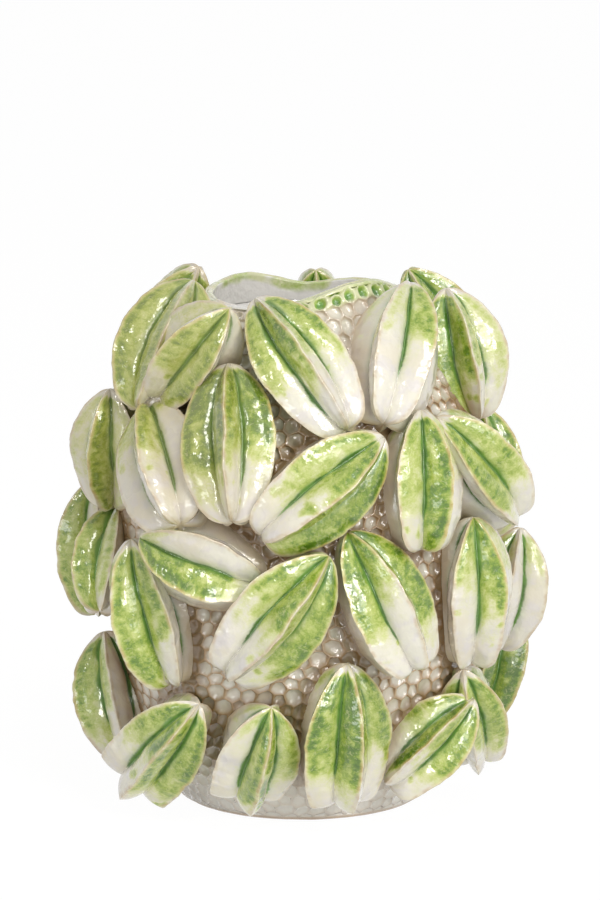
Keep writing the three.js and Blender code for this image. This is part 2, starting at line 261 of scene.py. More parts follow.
class Nodes:
    """The shader nodes of a material or of the world."""

    def __init__(self, owner, output="ShaderNodeOutputMaterial"):
        owner.use_nodes = True
        self.owner, self.tree = owner, owner.node_tree
        self.tree.nodes.clear()
        self.output = self.add(output)

    def add(self, kind, inputs=None, **settings):
        node = self.tree.nodes.new(kind)
        for key, value in settings.items():
            setattr(node, key, value)
        for key, value in (inputs or {}).items():
            if isinstance(value, (int, float, tuple)):
                node.inputs[key].default_value = value
            else:
                self.tree.links.new(value, node.inputs[key])
        return node

    def end(self, node):
        self.tree.links.new(node.outputs[0], self.output.inputs["Surface"])

    def attribute(self, name, output="Fac"):
        return self.add("ShaderNodeAttribute", attribute_name=name).outputs[output]

    def place(self):
        return self.add("ShaderNodeTexCoord").outputs["Object"]

    def split(self, vector):
        return self.add("ShaderNodeSeparateXYZ", {0: vector}).outputs

    def math(self, operation, a, b, clamp=False):
        return self.add("ShaderNodeMath", {0: a, 1: b}, operation=operation, use_clamp=clamp).outputs[0]

    def plus(self, a, b):
        return self.math("ADD", a, b)

    def times(self, a, b):
        return self.math("MULTIPLY", a, b)

    def swing(self, value, size):
        """A value of 0 to 1 made into a swing to both sides of 0."""
        return self.times(self.math("SUBTRACT", value, 0.5), size)

    def ramp(self, value, low, high, out_low=0.0, out_high=1.0):
        inputs = {"Value": value, "From Min": low, "From Max": high, "To Min": out_low, "To Max": out_high}
        return self.add("ShaderNodeMapRange", inputs, interpolation_type="SMOOTHSTEP").outputs["Result"]

    def gradient(self, value, stops):
        """Colours by value. The stops run from 0 to 1."""
        node = self.add("ShaderNodeValToRGB", {"Fac": value})
        elements = node.color_ramp.elements
        for at, _ in stops[1:-1]:
            elements.new(at)
        for element, (_, color) in zip(elements, stops):
            element.color = color
        return node.outputs["Color"]

    def mix(self, factor, a, b):
        inputs = {"Factor": factor, "A": a, "B": b}
        return self.add("ShaderNodeMix", inputs, data_type="RGBA").outputs["Result"]

    def noise(self, vector, scale, detail, rough=0.5, distortion=0.0):
        inputs = {"Vector": vector, "Scale": scale, "Detail": detail, "Roughness": rough,
                  "Distortion": distortion}
        return self.add("ShaderNodeTexNoise", inputs).outputs["Fac"]

    def bump(self, height, distance, before=None):
        inputs = {"Strength": 1.0, "Distance": distance, "Height": height}
        if before is not None:
            inputs["Normal"] = before
        return self.add("ShaderNodeBump", inputs).outputs["Normal"]

    def glaze(self, color, roughness, normal, coat, coat_roughness):
        inputs = {"Base Color": color, "Roughness": roughness, "Coat Weight": coat,
                  "Coat Roughness": coat_roughness, "Normal": normal, "Coat Normal": normal}
        self.end(self.add("ShaderNodeBsdfPrincipled", inputs))
        return self.owner

    def glow(self, kind, strength, color=(1, 1, 1, 1)):
        return self.add(kind, {"Color": color, "Strength": strength}).outputs[0]

    def seen(self):
        """1 for rays that show the background: straight to the camera, off a glaze or through glass."""
        rays = self.add("ShaderNodeLightPath").outputs
        mirrored = self.math("ADD", rays["Is Camera Ray"], rays["Is Glossy Ray"], clamp=True)
        return self.math("ADD", mirrored, rays["Is Transmission Ray"], clamp=True)

    def finish(self, factor, a, b):
        """Ends the tree with a mix of two shaders."""
        self.end(self.add("ShaderNodeMixShader", {0: factor, 1: a, 2: b}))


def srgb(r, g, b):
    def one(v):
        v /= 255
        return v / 12.92 if v <= 0.04045 else ((v + 0.055) / 1.055) ** 2.4
    return (one(r), one(g), one(b), 1)


# Colours of the fruits
CREAM, CREAM_WARM, CREAM_COOL = srgb(237, 234, 220), srgb(229, 222, 203), srgb(226, 221, 220)
CREAM_TAN_AND_SHADE = srgb(210, 184, 150)
GREEN_BY_THICKNESS = [(0.0, srgb(236, 232, 218)), (0.13, srgb(220, 222, 168)), (0.3, srgb(188, 201, 108)),
                      (0.5, srgb(148, 171, 58)), (0.72, srgb(108, 142, 34)), (1.0, srgb(80, 116, 26))]
FLECK, HALO, OLIVE_SHADE = srgb(206, 212, 144), srgb(134, 172, 112), srgb(170, 148, 96)
POOL_DARK, POOL_PALE = srgb(72, 118, 42), srgb(108, 154, 66)
CREST_PALE, CREST_GOLD = srgb(226, 208, 154), srgb(190, 156, 98)

# Colours of the vessel
CELL_PALE, CELL_WARM, CELL_COOL = srgb(236, 231, 220), srgb(222, 210, 193), srgb(221, 224, 208)
FOOT_BOUNCE_WHITE, INSIDE_WHITE = srgb(248, 246, 240), srgb(247, 245, 241)
TAN, POOLED_AND_SHADED_BROWN, SHADE_BROWN = srgb(190, 154, 112), srgb(146, 114, 78), srgb(146, 116, 78)
RIM_GREEN = [(0.0, srgb(224, 226, 182)), (0.35, srgb(180, 202, 112)), (0.7, srgb(112, 158, 60)),
             (1.0, srgb(54, 104, 38))]
LIP_TAN, CLAY_PALE, CLAY_DARK = srgb(222, 200, 158), srgb(214, 186, 152), srgb(198, 164, 128)


def fruit_glaze():
    """Cream glaze with green over it: thin green is pale and yellow, thick green is deep."""
    n = Nodes(bpy.data.materials.new("fruit_glaze"))
    depth, pooled, thin_glaze_and_shade = n.split(n.attribute("paint", "Vector"))
    valley, ridge = n.attribute("valley"), n.attribute("ridge")
    grain, place = n.attribute("grain", "Vector"), n.place()
    fine = n.noise(grain, 0.46, 3, 0.62, 0.6)
    speck = n.noise(grain, 1.2, 2)
    soft = n.noise(place, 45, 2)
    veil = n.noise(grain, 0.11, 3, 0.55)

    # cream in clouds, and tan close to the wall: partly thin glaze over the clay, partly painted shade
    cream = n.mix(n.ramp(soft, 0.35, 0.7), CREAM, CREAM_WARM)
    cream = n.mix(n.ramp(veil, 0.42, 0.66, 0.0, 0.8), cream, CREAM_COOL)
    cream = n.mix(n.times(thin_glaze_and_shade, 0.55), cream, CREAM_TAN_AND_SHADE)

    # green over it, uneven and flecked
    uneven = n.plus(n.swing(fine, 1.05), n.swing(speck, 0.4))
    thick = n.plus(depth, n.times(uneven, n.math("MULTIPLY", depth, 1.6, clamp=True)))
    color = n.mix(n.ramp(thick, 0.0, 0.16), cream, n.gradient(thick, GREEN_BY_THICKNESS))
    fleck = n.times(n.ramp(n.noise(grain, 0.42, 3, 0.65, 0.8), 0.53, 0.66), n.ramp(thick, 0.15, 0.5))
    color = n.mix(n.times(fleck, 0.45), color, FLECK)

    # a dark line pooled in each valley, with a halo
    halo = n.times(n.ramp(valley, 5.0, 0.8), pooled)
    color = n.mix(n.times(halo, 0.45), color, HALO)
    wander = n.swing(fine, 1.6)
    line = n.ramp(n.plus(valley, wander), n.times(pooled, 3.3), n.times(pooled, 1.6))
    pool = n.mix(n.ramp(veil, 0.4, 0.6), POOL_DARK, POOL_PALE)
    color = n.mix(n.times(line, n.ramp(pooled, 0.05, 0.4, 0.0, 0.9)), color, pool)

    # ridges worn pale and golden
    worn = n.ramp(n.noise(grain, 0.2, 2), 0.35, 0.65)
    thin = n.ramp(n.plus(ridge, n.times(wander, 0.7)), 1.9, 0.35)
    golden = n.plus(n.ramp(thick, 0.05, 0.4, 0.22, 0.52), n.times(worn, 0.3))
    color = n.mix(n.times(thin, golden), color, n.mix(worn, CREST_PALE, CREST_GOLD))

    # painted shade, in olive, at the upper left of the vase
    across, _, height = n.split(place)
    left_shade = n.times(n.ramp(across, 0.01, -0.06), n.ramp(height, 0.12, 0.2))
    color = n.mix(n.times(left_shade, 0.26), color, OLIVE_SHADE)

    normal = n.bump(n.noise(place, 95, 3, 0.45), 0.0013, n.bump(n.noise(place, 700, 2), 0.00004))
    return n.glaze(color, n.ramp(soft, 0.3, 0.7, 0.22, 0.34), normal, 1.0, 0.03)


def wall_glaze():
    """Pale cells between tan crests, green eyelets at the rim, white inside and bare clay below."""
    n = Nodes(bpy.data.materials.new("wall_glaze"))
    crest, tint, rim = n.split(n.attribute("cell", "Vector"))
    bare, shade, band = n.split(n.attribute("wear_and_shade", "Vector"))
    thin, place = n.attribute("thin"), n.place()
    soft = n.noise(place, 60, 3)
    fine = n.noise(place, 380, 3, 0.6)

    # cells, painted paler at the foot as if lit by light off the floor
    level = n.split(place)[2]
    color = n.mix(tint, CELL_PALE, CELL_WARM)
    color = n.mix(n.ramp(soft, 0.35, 0.7, 0.0, 0.45), color, CELL_COOL)
    color = n.mix(n.ramp(level, 0.06, 0.01, 0.0, 0.8), color, FOOT_BOUNCE_WHITE)

    # tan and brown on the crests, and painted brown shade close under the fruits
    warm = n.plus(crest, n.swing(fine, 0.5))
    strength = n.times(n.ramp(level, 0.015, 0.07, 0.25, 0.85), n.ramp(level, 0.215, 0.25, 1.0, 0.4))
    color = n.mix(n.times(n.ramp(warm, 0.42, 1.0), strength), color, TAN)
    color = n.mix(n.times(n.ramp(warm, 1.0, 1.6), strength), color, POOLED_AND_SHADED_BROWN)
    color = n.mix(n.times(shade, 0.92), color, SHADE_BROWN)
    color = n.mix(thin, color, INSIDE_WHITE)

    # green of the rim, deep in the eyelets
    green = n.ramp(n.plus(rim, n.swing(soft, 0.6)), 0.3, 0.7)
    depth = n.times(n.math("SUBTRACT", 1.0, crest), n.math("SUBTRACT", 1.0, thin))
    cloudy = n.plus(n.math("SUBTRACT", soft, 0.5), n.swing(fine, 0.7))
    color = n.mix(green, color, n.gradient(n.plus(depth, cloudy), RIM_GREEN))

    # the lip's tan line and the bare clay
    color = n.mix(n.ramp(band, 0.5, 1.0, 0.0, 0.7), color, LIP_TAN)
    color = n.mix(bare, color, n.mix(soft, CLAY_PALE, CLAY_DARK))

    normal = n.bump(n.noise(place, 180, 2), 0.0007, n.bump(fine, 0.0001))
    return n.glaze(color, n.plus(n.times(bare, 0.45), 0.24), normal, 0.85, 0.04)


# Star fruits

RIBS, STATIONS = 5, 78
RIB_TURN = 360 / RIBS
RIB_STEPS = np.array([0, 0.025, 0.06, 0.11, 0.18, 0.26, 0.35, 0.45, 0.55, 0.65, 0.75, 0.83, 0.9, 0.955])
NUB, SUNK_FRUIT, LIP_CLEARANCE = 0.0004, 3.5, 0.3
FRONT = np.array([0.0, -1.0, 0.2])


def fruit_frame(fruit):
    """A fruit's middle, and its directions to the stem, out from the wall and to the side."""
    z = ROW_HEIGHT[fruit.row] + fruit.rise
    bearing, lean, pitch = (math.radians(v) for v in (fruit.bearing, fruit.lean, fruit.pitch))
    out = np.array([math.sin(bearing), -math.cos(bearing), 0.0])
    right = np.array([math.cos(bearing), math.sin(bearing), 0.0])
    slope = float(wall_slope(z))
    up = np.array([out[0] * slope, out[1] * slope, 1.0])
    up /= np.linalg.norm(up)
    normal = out - up * (out @ up)
    normal /= np.linalg.norm(normal)
    along = up * math.cos(lean) + right * math.sin(lean)
    side = right * math.cos(lean) - up * math.sin(lean)
    stem = along * math.cos(pitch) + normal * math.sin(pitch)
    face = normal * math.cos(pitch) - along * math.sin(pitch)
    middle = out * float(wall_radius(z)) + np.array([0, 0, z]) + normal * fruit.standoff
    return middle, stem, face, side


def ridge_share(u, flare):
    return np.sin(np.pi * u) ** np.where(u < 0.5, 0.52, 0.44 * (1 - 0.92 * flare))


def valley_share(u, flare):
    broad = 0.5 + 0.2 * flare * smooth(0.5, 1.0, u)
    return broad * np.sin(np.pi * u) ** np.where(u < 0.5, 0.6, 0.6 * (1 - 0.8 * flare))


def wall_height(points):
    """How far points stand off the vessel, in mm."""
    z = np.clip(points[:, 2], 0, MOUTH_HEIGHT)
    return (np.hypot(points[:, 0], points[:, 1]) - wall_radius(z)) / np.hypot(1, wall_slope(z))


def keep_outside(points, depth):
    """Points deeper in the vessel than depth are brought out to it, or up over the lip."""
    r = np.hypot(points[:, 0], points[:, 1])
    lip = lip_height(bearing_of(points))
    share = np.clip((points[:, 2] - RIM_START) / (lip - RIM_START), 0, 1)
    level = np.where(points[:, 2] > RIM_START, RIM_START + RIM_BAND * share, points[:, 2])
    limit = wall_radius(level) - depth
    inward = limit - r
    upward = lip + LIP_CLEARANCE - points[:, 2]
    sunk = (inward > 0) & (upward > 0)
    rise = sunk & (upward < inward)
    scale = np.where(sunk & ~rise, limit / np.maximum(r, 1e-6), 1)
    points = points * np.stack([scale, scale, np.ones_like(scale)], 1)
    points[:, 2] += np.where(rise, upward, 0)
    return points


class RibNet:
    """The net over a fruit: u from stem to blossom end, step from a ridge at 0 to its valleys at -1 and 1.
    Its noises take their size first, and their last number picks one."""

    def __init__(self, fruit, seed):
        t = np.linspace(0, 1, STATIONS)
        u = 0.3 * t + 0.7 * (0.5 - 0.5 * np.cos(np.pi * t))
        u[0], u[-1] = NUB, 1 - NUB
        signed = np.concatenate([RIB_STEPS, [1.0], -RIB_STEPS[:0:-1]])
        step = np.tile(signed, RIBS)
        rib = (np.repeat(np.arange(RIBS), len(signed)) + (step < 0)) % RIBS
        self.seed, self.columns = seed, len(step)
        self.u, self.step = np.meshgrid(u, step, indexing="ij")
        self.rib = np.meshgrid(u, rib, indexing="ij")[1]
        self.valley = np.where(self.step >= 0, self.rib, (self.rib - 1) % RIBS)
        self.s = np.abs(self.step)
        self.ends = np.sin(np.pi * self.u) ** 0.5
        around = self.step * fruit.radius * 0.62 + self.rib * 61
        self.grain = self.rows(around, self.u * fruit.length, np.full(self.u.shape, seed * 9.1))

    def rows(self, *values):
        """One row of values for each point."""
        return np.stack([value.ravel() for value in values], 1)

    def wander(self, size, index, frequency, key):
        """Slow change along each ridge or valley."""
        level = np.full(self.u.shape, self.seed * 1.37)
        at = self.rows(self.u * frequency + key * 31.7, index * 7.3, level)
        return noise(at, self.seed + key).reshape(self.u.shape) * size

    def texture(self, size, across, down, key):
        """Marks of so many mm across and down a flank."""
        return noise(self.grain / [across, down, 1], self.seed + key).reshape(self.u.shape) * size


def fruit_points(fruit, net):
    """Where the net's points lie on the vase."""
    u, s, rib, ends, flare = net.u, net.s, net.rib, net.ends, fruit.flare

    # ridges and valleys wander a little, and flanks are plump
    ridge_turn = net.wander(3.8, rib, 2.6, 1) * ends + net.wander(1.6, rib, 9, 2)
    valley_turn = (net.wander(5.5, net.valley, 2.6, 3) + net.wander(1.6, net.valley, 8, 14)) * ends
    lift = 1 + net.wander(0.06, rib, 2.2, 4) + net.wander(0.022, rib, 9, 5) + net.wander(0.012, rib, 23, 8)
    ridge = ridge_share(u, flare) * lift
    valley = valley_share(u, flare) * (1 + net.wander(0.10, net.valley, 2.2, 6))
    plump = 1.06 + net.wander(0.26, rib * 2 + (net.step >= 0), 1.6, 7)
    fall = plump * s + (1 - plump) * s * s
    share = ridge + (valley - ridge) * fall - 0.022 * hill(s, 1, 0.12) * ends
    bead = hill(s, 0, 0.06) * 0.014 - hill(s, 0.16, 0.07) * 0.012
    share = share + bead * ends * (1 + net.wander(0.8, rib, 7, 9))
    turn = fruit.spin + RIB_TURN * (rib + net.step / 2) + ridge_turn * (1 - s) + valley_turn * s

    # undulating surface, with short marks across the flanks beside the ridges
    flank = np.clip(s * 3, 0, 1) * np.clip((1 - s) * 3, 0, 1)
    swell = net.texture(0.62, 9, 11, 11) * flank + net.texture(0.20, 4.6, 4.2, 12)
    swell = swell + net.texture(0.20, 7.0, 1.9, 13) * hill(s, 0.25, 0.25)
    radius = np.maximum(fruit.radius * share + swell * ends, 0.02)

    # rib ends reach past the middle at the blossom end, and the stem end is a small nub
    along = fruit.length * (0.5 - u) * (1 - 0.33 * flare ** 1.5 * smooth(0.5, 1.0, u))
    spread = (1 - fall * (1 - 0.4 * flare)) * np.sin(np.pi * u) ** (0.15 * (1 - flare))
    along = along - (2.8 + 1.2 * flare) * smooth(0.80, 0.99, u) * spread + 0.8 * smooth(0.05, 0.0, u)

    middle, stem, face, side = fruit_frame(fruit)
    around = np.radians(turn)
    local = net.rows(along, radius * np.cos(around), radius * np.sin(around))
    return keep_outside(middle + local @ np.array([stem, face, side]), SUNK_FRUIT)


def flank_greens(fruit, rng):
    """How far the green reaches and how deep it is, on both flanks of each rib."""
    _, _, face, side = fruit_frame(fruit)
    facing = math.degrees(math.atan2(FRONT @ side, FRONT @ face))
    greens = np.zeros((RIBS, 2, 2))
    for rib in range(RIBS):
        for flank, sign in enumerate((-1, 1)):
            turn = turn_from(facing, fruit.spin + RIB_TURN * (rib + sign / 4))
            slot = (turn + 90) / (RIB_TURN / 2)
            if fruit.reaches and 0 <= slot < len(fruit.reaches):
                greens[rib, flank] = fruit.reaches[int(slot)] / 100, fruit.depths[int(slot)] / 100
            elif fruit.reaches:
                greens[rib, flank] = rng.uniform(0.1, 0.5), rng.uniform(0.1, 0.3)
            else:
                greens[rib, flank] = rng.uniform(0.15, 0.95), rng.uniform(0.3, 0.85)
    return greens


def fruit_paint(fruit, net, points):
    """The glaze's attributes: green, pooled green, and tan near the wall (thin glaze and painted shade),
    and mm from the valley and the ridge.
    """
    rng = np.random.default_rng(net.seed)
    u, s = net.u, net.s
    reach, depth = np.moveaxis(flank_greens(fruit, rng)[net.rib, (net.step >= 0).astype(int)], -1, 0)
    width = np.maximum(2 * np.pi * fruit.radius * net.ends / (2 * RIBS), 0.4)
    valley_mm, ridge_mm = (1 - s) * width * 0.9, s * width * 1.15

    # body of the green, mottled, with short strokes beside the ridges, spots and a thin wash
    edge = reach + net.texture(0.11, 8, 11, 21) + net.texture(0.08, 2.6, 10, 22)
    body = smooth(edge + 0.09, edge - 0.15, u) * (reach > 0.04)
    mottle = 0.62 + net.texture(0.50, 4.4, 5.0, 23) + net.texture(0.30, 9, 14, 24)
    strokes = 0.5 + net.texture(0.9, 8.0, 1.9, 25)
    beside = hill(ridge_mm, 3.6, 1.5 + strokes)
    green = body * depth * (np.clip(mottle, 0.1, 1.3) * 0.82 + beside * np.clip(strokes, 0, 1.4) * 0.7)
    spots = smooth(0.42, 0.75, net.texture(1, 7, 8, 28)) * smooth(edge + 0.45, edge, u) * depth * 0.7
    green = np.maximum(green, spots * (reach > 0.04))
    wash = smooth(edge + 0.42, edge - 0.05, u) * (0.05 + 0.16 * depth)
    wash = wash * (0.8 + net.texture(0.5, 12, 15, 26))

    # most stem ends and all ridges stay pale
    capped = rng.random() < 0.6 and abs(fruit.bearing) < 170
    cap = smooth(0.075, 0.02, u + net.texture(0.02, 5, 5, 29)) * capped
    green = np.clip((green + wash) * (1 - 0.75 * hill(ridge_mm, 0, 1.1)) * (1 - cap), 0, 1)

    # green pooled in the valleys, up to where each one stops
    stop = rng.uniform(0.74, 0.92, RIBS)[net.valley]
    strength = rng.uniform(0.7, 1.0, RIBS)[net.valley]
    pooled = smooth(stop + 0.05, stop - 0.25, u) * smooth(0.0, 0.06, u) * strength * (1 - cap)
    pooled = pooled * np.clip(0.85 + net.wander(0.7, net.valley, 6, 10), 0.3, 1)

    # tan close to the wall: partly thin glaze over the clay, partly painted shade where the fruit meets the
    # vessel
    thin_glaze_and_shade = smooth(13.0, 1.0, wall_height(points).reshape(u.shape) + net.texture(2.0, 8, 8, 27))
    paint = net.rows(green, pooled, thin_glaze_and_shade)
    return {"paint": paint, "valley": valley_mm.ravel(), "ridge": ridge_mm.ravel()}


def make_fruit(name, fruit, seed):
    net = RibNet(fruit, seed)
    points = fruit_points(fruit, net)
    attributes = {**fruit_paint(fruit, net, points), "grain": net.grain}
    columns, last = net.columns, (STATIONS - 1) * net.columns

    def with_tips(values):
        return np.concatenate([values, [values[:columns].mean(0)], [values[last:].mean(0)]])

    faces = [face[::-1] for face in grid_faces(STATIONS, columns)]
    stem_tip, blossom_tip = len(points), len(points) + 1
    for k in range(columns):
        after = (k + 1) % columns
        faces.append((k, after, stem_tip))
        faces.append((last + after, last + k, blossom_tip))
    return make_mesh(name, with_tips(points), faces, {key: with_tips(v) for key, v in attributes.items()})


FRUIT_FRAMES = [fruit_frame(fruit) for fruit in FRUITS]


def fruit_clearance(points):
    """How far points lie from the nearest fruit, roughly, in mm; less than 0 is inside it."""
    nearest = np.full(len(points), 99.0)
    for fruit, (middle, stem, face, side) in zip(FRUITS, FRUIT_FRAMES):
        d = points - middle
        u = 0.5 - (d @ stem) / fruit.length
        w = np.clip(u, 0.03, 0.97)
        turn = np.degrees(np.arctan2(d @ side, d @ face)) - fruit.spin
        step = np.abs((turn + RIB_TURN / 2) % RIB_TURN - RIB_TURN / 2) / (RIB_TURN / 2)
        ridge, valley = ridge_share(w, fruit.flare), valley_share(w, fruit.flare)
        outside = np.hypot(d @ side, d @ face) - fruit.radius * (ridge + (valley - ridge) * step)
        beyond = np.abs(u - w) * fruit.length
        distance = np.hypot(np.maximum(outside, 0), beyond) + np.minimum(outside, 0) * (beyond == 0)
        nearest = np.minimum(nearest, distance)
    return nearest


# The pressed relief on the wall: cells between thin crests, and green eyelets along the lip

# Spacings of cells, rows and eyelets, and how far below the lip the eyelets are
CELL, ROW, EYELET, EYELET_ROW = 8.4, 7.1, 9.0, 6.2

# Heights where the cells start and where their rows start to follow the lip, and how far below the
# lip they end
LOWEST, WAVES_FROM, SKIN_TOP = 1.6, 180, 2.2
ARC_LOW, ARC_BASE = arc_at(LOWEST), arc_at(BASE_THICKNESS + 0.15)
ARC_WAVY, ARC_RIM, ARC_TOP = arc_at(WAVES_FROM), arc_at(RIM_START), ARC[-1]

# How far the plan of the cells runs on past both ends and past its seam, and how deep in a fruit the
# cells are that it hides
BEYOND, SEAM, HIDDEN = 60, 0.5, -3.0
CREST_LOOK = (1.0, 0.5, 0.0)
Site = namedtuple("Site", "bearing arc eyelet tint depth")

# Loops from the crest inwards: share of the way out, height, shift, and how much of the crest's colour.
# Then the same of the middle, without the share. A cell's heights are times its own depth.
EYELET_LOOPS = [(0.86, 0.45, 0.0, 0.95), (0.72, 0.15, 0.0, 0.8), (0.6, -1.7, 0.1, 0.4),
                (0.36, -2.6, 0.1, 0.1)]
EYELET_MIDDLE = (-2.8, 0.1)
CELL_LOOPS = [(0.88, -0.20, 0.10, 0.8), (0.72, -0.52, 0.26, 0.5), (0.52, -0.80, 0.42, 0.22),
              (0.28, -0.97, 0.52, 0.06)]
CELL_MIDDLE = (-1.0, 0.54)


def band_length(bearing):
    return np.hypot(lip_height(bearing) - RIM_START, wall_radius(RIM_START) - MOUTH_RADIUS)


def to_nominal(bearing, arc):
    """Real distance up the wall to the distance up the unwaved outline."""
    stretched = ARC_RIM + (arc - ARC_RIM) / band_length(bearing) * (ARC_TOP - ARC_RIM)
    return np.where(arc > ARC_RIM, stretched, arc)


def skin_point(bearing, arc):
    """Point and outward direction at a bearing and an unwaved distance up the wall."""
    r = np.interp(arc, ARC, OUTLINE[:, 0])
    z = np.interp(arc, ARC, OUTLINE[:, 1])
    share = np.clip((z - RIM_START) / RIM_BAND, 0, 1)
    real = np.where(arc > ARC_RIM, RIM_START + (lip_height(bearing) - RIM_START) * share, z)
    slope = wall_slope(np.minimum(z, MOUTH_HEIGHT - SLOPE_STEP))
    b, k = np.radians(bearing), np.hypot(1, slope)
    normal = np.stack([np.sin(b) / k, -np.cos(b) / k, -slope / k], -1)
    return round_points(bearing, r, real), normal


def skin_lattice():
    """The cells' sites, row by row. Rows on the shoulder follow the waves of the lip."""
    rng = np.random.default_rng(7)
    full = ARC_TOP - ARC_WAVY
    rows_above = int(round((full - EYELET_ROW) / ROW))
    rows_below = int(math.ceil((ARC_WAVY - ARC_LOW) / ROW)) + 2
    sites = []
    for j in range(-rows_below, rows_above + 3):
        share = j / rows_above
        middle = ARC_WAVY + (full - EYELET_ROW) * share
        radius = float(np.interp(middle, ARC, OUTLINE[:, 0])) if middle < ARC_TOP else MOUTH_RADIUS
        eyelet = j == rows_above
        count = int(round(2 * math.pi * radius / (EYELET if eyelet else CELL)))
        jitter, lift = (0.05, 0.04) if eyelet else (0.23, 0.2)
        turn = (np.arange(count) + (j % 2) * 0.5 + rng.uniform(-jitter, jitter, count)) * 360 / count - 180
        if share > 0:
            arc = ARC_WAVY + (ARC_RIM + band_length(turn) - ARC_WAVY - EYELET_ROW) * share
        else:
            arc = np.full(count, middle)
        arc = to_nominal(turn, arc + rng.uniform(-1, 1, count) * ROW * lift)
        sites += [Site(turn[k], arc[k], eyelet, rng.random(), rng.random()) for k in range(count)]
    return sites


def even_map():
    """Distances up the wall, and beside each its place on a plan that keeps the shapes of cells."""
    plan = np.concatenate([[0], np.cumsum(np.diff(ARC) / (0.5 * (OUTLINE[1:, 0] + OUTLINE[:-1, 0])))])
    below = np.linspace(-BEYOND, -0.1, 50)
    above = np.linspace(ARC_TOP, ARC_TOP + BEYOND, 50)[1:]
    plan = np.concatenate([below / FOOT_RADIUS, plan, plan[-1] + (above - ARC_TOP) / MOUTH_RADIUS])
    return np.concatenate([below, ARC, above]), plan


def cell_borders(sites):
    """For each cell, its site and its corners in order: key, bearing and distance up the wall."""
    arcs, plan = even_map()
    x = np.radians([site.bearing for site in sites])
    y = np.interp([site.arc for site in sites], arcs, plan)
    ids = np.arange(len(sites))
    left, right = x > math.pi - SEAM, x < SEAM - math.pi
    all_x = np.concatenate([x, x[left] - 2 * math.pi, x[right] + 2 * math.pi])
    all_y = np.concatenate([y, y[left], y[right]])
    all_ids = np.concatenate([ids, ids[left], ids[right]])
    net = delaunay_2d_cdt([Vector(p) for p in zip(all_x.tolist(), all_y.tolist())], [], [], 0, 1e-7)
    places = np.array([place[:] for place in net[0]])
    original = [inputs[0] for inputs in net[3]]
    fans, corners, cells = {}, {}, []
    for triangle in net[2]:
        middle = places[list(triangle)].mean(0)
        key = tuple(sorted(int(all_ids[original[v]]) for v in triangle))
        for v in triangle:
            if original[v] < len(sites):
                fans.setdefault(original[v], []).append((key, middle))
    for site, fan in fans.items():
        if len(fan) < 3:
            continue
        fan.sort(key=lambda corner: math.atan2(corner[1][1] - y[site], corner[1][0] - x[site]))
        for key, place in fan:
            if key not in corners:
                bearing, arc = math.degrees(place[0]), float(np.interp(place[1], plan, arcs))
                band = float(band_length(bearing))
                top = ARC_RIM + (band - SKIN_TOP) / band * (ARC_TOP - ARC_RIM)
                corners[key] = (bearing, min(max(arc, ARC_LOW), top), arc < ARC_LOW or arc > top)
        if not all(corners[key][2] for key, _ in fan):
            cells.append((sites[site], [(key, *corners[key][:2]) for key, _ in fan]))
    return cells


